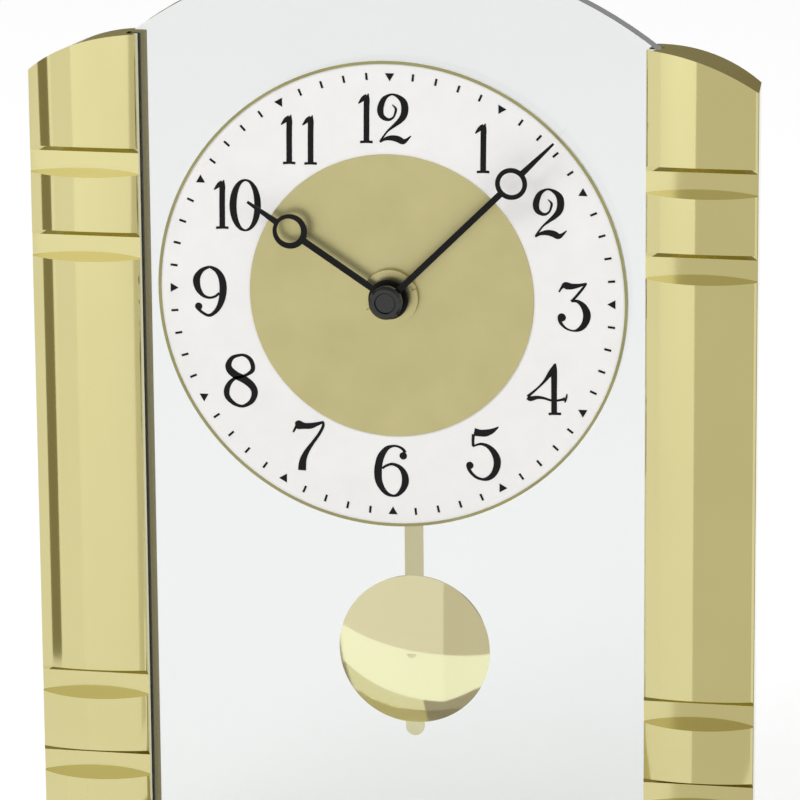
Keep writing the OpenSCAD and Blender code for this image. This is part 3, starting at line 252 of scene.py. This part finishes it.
class Shade:
    """A material under construction: its nodes, its shader and helpers that add to them."""

    def __init__(self, name):
        self.material = bpy.data.materials.new(name)
        self.material.use_nodes = True
        self.tree = self.material.node_tree
        self.shader = self.tree.nodes["Principled BSDF"]
        self.place = self.tree.nodes.new("ShaderNodeTexCoord").outputs["Object"]

    def set(self, **values):
        for key, value in values.items():
            self.shader.inputs[key.replace("_", " ")].default_value = value

    def node(self, kind, **values):
        made = self.tree.nodes.new(kind)
        for key, value in values.items():
            setattr(made, key, value)
        return made

    def link(self, a, b):
        self.tree.links.new(a, b)

    def scaled(self, scale):
        mapping = self.node("ShaderNodeMapping")
        mapping.inputs["Scale"].default_value = scale
        self.link(self.place, mapping.inputs["Vector"])
        return mapping.outputs["Vector"]

    def noise(self, scale, detail=3.0, stretch=(1, 1, 1)):
        made = self.node("ShaderNodeTexNoise")
        made.inputs["Scale"].default_value = scale
        made.inputs["Detail"].default_value = detail
        self.link(self.scaled(stretch), made.inputs["Vector"])
        return made.outputs["Fac"]

    def colours(self, scale, low, high, stretch=(1, 1, 1), detail=3.0):
        factor = self.noise(scale, detail, stretch)
        tone = ramp_node(self.tree, factor, [(0.3, low), (0.7, high)])
        self.link(tone, self.shader.inputs["Base Color"])

    def roughness(self, scale, low, high, stretch=(1, 1, 1)):
        made = self.node("ShaderNodeMapRange")
        made.inputs["To Min"].default_value = low
        made.inputs["To Max"].default_value = high
        self.link(self.noise(scale, 2.0, stretch), made.inputs["Value"])
        self.link(made.outputs["Result"], self.shader.inputs["Roughness"])

    def bump(self, scale, strength, depth, stretch=(1, 1, 1), detail=2.0):
        made = self.node("ShaderNodeBump")
        made.inputs["Strength"].default_value = strength
        made.inputs["Distance"].default_value = depth
        self.link(self.noise(scale, detail, stretch), made.inputs["Height"])
        self.link(made.outputs["Normal"], self.shader.inputs["Normal"])


def make_metal(name, low, high, rough, grain, stretch=(1, 1, 1), bump=0.05):
    shade = Shade(name)
    shade.set(Metallic=1.0)
    shade.colours(grain, low, high, stretch)
    shade.roughness(grain * 1.7, rough[0], rough[1], stretch)
    shade.bump(grain * 3, bump, 0.00002, stretch)
    return shade.material


def make_plain(name, low, high, rough, grain, bump=0.1, depth=0.00003, **sockets):
    shade = Shade(name)
    shade.set(**sockets)
    shade.colours(grain, low, high)
    shade.roughness(grain * 1.6, rough[0], rough[1])
    shade.bump(grain * 4, bump, depth)
    return shade.material


def make_glass():
    """Clear float glass: see-through, with a thin grey-green body."""
    shade = Shade("clear_glass")
    shade.set(Transmission_Weight=1.0, IOR=1.5)
    shade.colours(30, colour(231, 233, 232), colour(232, 234, 233))
    shade.roughness(60, 0.0, 0.012)
    shade.bump(18, 0.02, 0.00002)
    return shade.material


def make_materials():
    return {
        "polished_gold": make_metal(
            "polished_gold", colour(199, 191, 138), colour(203, 195, 142), (0.06, 0.1), 26),
        "satin_gold": make_metal(
            "satin_gold", colour(176, 168, 121), colour(182, 174, 127), (0.34, 0.42), 90),
        "rim_gold": make_metal(
            "rim_gold", colour(140, 136, 92), colour(150, 146, 100), (0.3, 0.4), 90),
        "clear_glass": make_glass(),
        "dial_white": make_plain(
            "dial_white", colour(242, 241, 239), colour(246, 245, 243), (0.4, 0.5), 120,
            Specular_IOR_Level=0.3),
        "black_paint": make_plain(
            "black_paint", colour(6, 6, 6), colour(12, 12, 12), (0.34, 0.46), 160,
            Specular_IOR_Level=0.15),
        "black_gloss": make_plain(
            "black_gloss", colour(3, 3, 4), colour(6, 6, 7), (0.1, 0.14), 160,
            Specular_IOR_Level=0.5),
        "black_plastic": make_plain(
            "black_plastic", colour(20, 20, 22), colour(30, 30, 32), (0.42, 0.56), 70, 0.2, 0.00006,
            Specular_IOR_Level=0.3),
        "white_plastic": make_plain(
            "white_plastic", colour(222, 221, 214), colour(233, 232, 226), (0.38, 0.5), 140),
        "soft_rubber": make_plain(
            "soft_rubber", colour(34, 34, 34), colour(50, 50, 50), (0.75, 0.9), 120, 0.3, 0.0001),
        "brown_rubber": make_plain(
            "brown_rubber", colour(92, 86, 46), colour(108, 100, 58), (0.6, 0.8), 120, 0.2, 0.00008),
        "steel": make_metal(
            "steel", colour(168, 170, 172), colour(188, 190, 192), (0.22, 0.34), 140, (1, 6, 1)),
        "gear_brass": make_metal(
            "gear_brass", colour(196, 168, 96), colour(212, 186, 116), (0.2, 0.32), 160),
        "copper_wire": make_metal(
            "copper_wire", colour(178, 92, 52), colour(204, 118, 72), (0.25, 0.4), 220, (1, 9, 1), 0.4),
        "board_green": make_plain(
            "board_green", colour(28, 84, 50), colour(44, 108, 66), (0.32, 0.48), 130),
        "battery_wrap": make_plain(
            "battery_wrap", colour(44, 50, 58), colour(58, 66, 74), (0.3, 0.42), 80),
    }


def spline(points, closed):
    """Points of a smooth curve through the given ones, with every value carried along."""
    n = len(points)
    made = []
    for i in range(n if closed else n - 1):
        if closed:
            a, b, c, d = (points[(i + k) % n] for k in (-1, 0, 1, 2))
        else:
            a, b, c, d = (points[min(max(i + k, 0), n - 1)] for k in (-1, 0, 1, 2))
        for step in range(STROKE_STEPS):
            t = step / STROKE_STEPS
            made.append(tuple(
                0.5 * (2 * q + (r - p) * t + (2 * p - 5 * q + 4 * r - s) * t * t
                       + (3 * q - p - 3 * r + s) * t ** 3)
                for p, q, r, s in zip(a, b, c, d)
            ))
    if not closed:
        made.append(points[-1])
    return made


def stroke_outline(points, closed):
    """The two sides of a stroke, or the rim of a round spot, as lists of (x, z)."""
    if len(points) == 1:
        x, z, r = points[0]
        turns = [2 * math.pi * k / SPOT_STEPS for k in range(SPOT_STEPS)]
        return [(x + r * math.cos(a), z + r * math.sin(a)) for a in turns], None
    path = spline(points, closed)
    left, right = [], []
    for i, (x, z, half) in enumerate(path):
        if closed:
            before, after = path[i - 1], path[(i + 1) % len(path)]
        else:
            before, after = path[max(i - 1, 0)], path[min(i + 1, len(path) - 1)]
        along = Vector((after[0] - before[0], after[1] - before[1])).normalized()
        left.append((x - along.y * half, z + along.x * half))
        right.append((x + along.y * half, z - along.x * half))
    return left, right


def add_stroke(verts, faces, points, closed, at, y_front, y_back):
    """Adds one raised stroke to a mesh that is being gathered, in metres round the dial's centre."""
    left, right = stroke_outline(points, closed)

    def row(side, y):
        first = len(verts)
        verts.extend(((at[0] + x * MM), y, (at[1] + z * MM)) for x, z in side)
        return list(range(first, first + len(side)))

    if right is None:
        front, back = row(left, y_front), row(left, y_back)
        faces.append(front)
        faces.append(back[::-1])
        for k in range(len(front)):
            after = (k + 1) % len(front)
            faces.append([front[k], back[k], back[after], front[after]])
        return
    rows = [row(left, y_front), row(right, y_front), row(right, y_back), row(left, y_back)]
    n = len(left)
    for i in range(n if closed else n - 1):
        j = (i + 1) % n
        for k in range(4):
            a, b = rows[k], rows[(k + 1) % 4]
            faces.append([a[i], b[i], b[j], a[j]])
    if not closed:
        faces.append([rows[k][0] for k in (3, 2, 1, 0)])
        faces.append([rows[k][-1] for k in range(4)])


def make_numeral(name, digits, face_y, centre, material):
    verts, faces = [], []
    for digit, x, z in digits:
        for number, points in enumerate(DIGITS[digit]):
            closed = digit in CLOSED_DIGITS and len(points) > 1
            y_front = face_y - (FIGURE_RELIEF + FIGURE_STEP * number) * MM
            at = (centre[0] + x * MM, centre[1] + z * MM)
            add_stroke(verts, faces, points, closed, at, y_front, face_y + FIGURE_SEAT * MM)
    piece = place_mesh(name, verts, faces, material)
    recalculate(piece)
    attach(piece, "clock_frame")


def recalculate(piece):
    """Turns every face of a mesh outwards."""
    work = bmesh.new()
    work.from_mesh(piece.data)
    bmesh.ops.recalc_face_normals(work, faces=work.faces)
    work.to_mesh(piece.data)
    work.free()


def emission_for_eyes(shade, colour_value, strength):
    """Light that only the camera, glossy and transmission rays see, so it lights nothing."""
    path = shade.node("ShaderNodeLightPath")
    seen = path.outputs["Is Camera Ray"]
    for ray in ("Is Glossy Ray", "Is Transmission Ray"):
        both = shade.node("ShaderNodeMath", operation="MAXIMUM")
        shade.link(seen, both.inputs[0])
        shade.link(path.outputs[ray], both.inputs[1])
        seen = both.outputs[0]
    amount = shade.node("ShaderNodeMath", operation="MULTIPLY")
    shade.link(seen, amount.inputs[0])
    amount.inputs[1].default_value = strength
    shade.set(Emission_Color=colour_value)
    shade.link(amount.outputs[0], shade.shader.inputs["Emission Strength"])


def make_floor():
    shade = Shade("studio_floor")
    shade.set(Specular_IOR_Level=0.0, Roughness=1.0)
    shade.colours(2.0, colour(228, 228, 228), colour(231, 231, 231))
    emission_for_eyes(shade, (1.0, 1.0, 1.0, 1.0), FLOOR_GLOW)
    half = FLOOR_HALF * MM
    corners = [(-half, -half, 0), (half, -half, 0), (half, half, 0), (-half, half, 0)]
    floor = place_mesh("studio_floor", corners, [(0, 1, 2, 3)], shade.material)


def make_card(name, left, right, left_heights, right_heights, seen):
    """A glowing card that only shows in glossy reflections: a painted reflection, which lights nothing
    and casts no shadow.
    """
    shade = Shade(name)
    shade.tree.nodes.remove(shade.shader)
    glow = shade.node("ShaderNodeEmission")
    glow.inputs["Color"].default_value = (*seen, 1)
    shade.link(glow.outputs[0], shade.tree.nodes["Material Output"].inputs["Surface"])
    corners = [
        (*left, left_heights[0]),
        (*right, right_heights[0]),
        (*right, right_heights[1]),
        (*left, left_heights[1]),
    ]
    card = place_mesh(name, [Vector(corner) * MM for corner in corners], [(0, 1, 2, 3)], shade.material)
    for ray in ("camera", "diffuse", "transmission", "shadow", "volume_scatter"):
        setattr(card, "visible_" + ray, False)


def sky_tones(tree, height, tones):
    return ramp_node(tree, height, [(at, (tone, tone, tone, 1)) for at, tone in tones])


def make_world():
    """White to the eye, an even fill for light, and a toned room for reflections."""
    world = bpy.data.worlds.new("studio")
    world.use_nodes = True
    bpy.context.scene.world = world
    tree = world.node_tree
    tree.nodes.clear()
    path = tree.nodes.new("ShaderNodeLightPath")
    direction = tree.nodes.new("ShaderNodeTexCoord")
    split = tree.nodes.new("ShaderNodeSeparateXYZ")
    tree.links.new(direction.outputs["Generated"], split.inputs["Vector"])
    behind = tree.nodes.new("ShaderNodeMapRange")
    behind.inputs["From Min"].default_value = -TONES_BLEND
    behind.inputs["From Max"].default_value = TONES_BLEND
    tree.links.new(split.outputs["Y"], behind.inputs["Value"])
    room = tree.nodes.new("ShaderNodeMix")
    room.data_type = "RGBA"
    tree.links.new(behind.outputs["Result"], room.inputs["Factor"])
    tree.links.new(sky_tones(tree, split.outputs["Z"], FRONT_TONES), room.inputs["A"])
    tree.links.new(sky_tones(tree, split.outputs["Z"], BACK_TONES), room.inputs["B"])

    def background(tone, strength):
        made = tree.nodes.new("ShaderNodeBackground")
        made.inputs["Strength"].default_value = strength
        if tone is None:
            made.inputs["Color"].default_value = (1, 1, 1, 1)
        else:
            tree.links.new(tone, made.inputs["Color"])
        return made.outputs[0]

    def choose(test, off, on):
        made = tree.nodes.new("ShaderNodeMixShader")
        tree.links.new(test, made.inputs[0])
        tree.links.new(off, made.inputs[1])
        tree.links.new(on, made.inputs[2])
        return made.outputs[0]

    seen = tree.nodes.new("ShaderNodeMath")
    seen.operation = "MAXIMUM"
    tree.links.new(path.outputs["Is Camera Ray"], seen.inputs[0])
    tree.links.new(path.outputs["Is Transmission Ray"], seen.inputs[1])
    fill = choose(path.outputs["Is Glossy Ray"], background(None, WORLD_FILL),
                  background(room.outputs["Result"], 1.0))
    out = tree.nodes.new("ShaderNodeOutputWorld")
    tree.links.new(choose(seen.outputs[0], fill, background(None, 1.0)), out.inputs["Surface"])


def make_lamp(name, place, aim, size, watts):
    data = bpy.data.lights.new(name, "AREA")
    data.shape = "RECTANGLE"
    data.size, data.size_y = size[0] * MM, size[1] * MM
    data.energy = watts
    lamp = bpy.data.objects.new(name, data)
    lamp.location = Vector(place) * MM
    lamp.rotation_euler = (Vector(aim) * MM - lamp.location).to_track_quat("-Z", "Y").to_euler()
    # Its shape stays out of the polished metal, as it does in the photograph
    lamp.visible_glossy = False
    bpy.context.scene.collection.objects.link(lamp)


def make_camera():
    back = Vector((
        math.sin(CAMERA_YAW) * math.cos(CAMERA_PITCH),
        -math.cos(CAMERA_YAW) * math.cos(CAMERA_PITCH),
        math.sin(CAMERA_PITCH),
    ))
    right = Vector((math.cos(CAMERA_YAW), math.sin(CAMERA_YAW), 0))
    up = back.cross(right)
    turned_right = right * math.cos(CAMERA_ROLL) + up * math.sin(CAMERA_ROLL)
    turned_up = up * math.cos(CAMERA_ROLL) - right * math.sin(CAMERA_ROLL)
    data = bpy.data.cameras.new("photo_camera")
    data.lens = CAMERA_LENS
    data.sensor_width = CAMERA_SENSOR
    data.clip_start, data.clip_end = CAMERA_CLIP
    camera = bpy.data.objects.new("photo_camera", data)
    frame = Matrix((turned_right, turned_up, back)).transposed().to_4x4()
    frame.translation = AIM + back * CAMERA_DISTANCE
    camera.matrix_world = frame
    bpy.context.scene.collection.objects.link(camera)
    bpy.context.scene.camera = camera


def assign_finishes(frame, materials):
    """Gives every CAD node the material of its slot in the record."""
    slots = {part["node"]: part["material_slot"] for part in frame["record"]["subparts"]}
    for name, piece in frame["nodes"].items():
        piece.data.materials.clear()
        piece.data.materials.append(materials[slots[name]])


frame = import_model()
materials = make_materials()
assign_finishes(frame, materials)

plate_low, plate_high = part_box("dial_plate")
dial_face_y = plate_low.y
dial_middle = ((plate_low.x + plate_high.x) / 2, (plate_low.z + plate_high.z) / 2)
for number, digits in NUMERALS.items():
    make_numeral("numeral_" + number, digits, dial_face_y, dial_middle, materials["black_paint"])

make_floor()
for card in CARDS:
    make_card(*card)
make_world()
for name, place, aim, size, watts in LAMPS:
    make_lamp(name, place, aim, size, watts)
make_camera()
bpy.context.scene.view_settings.view_transform = "Standard"
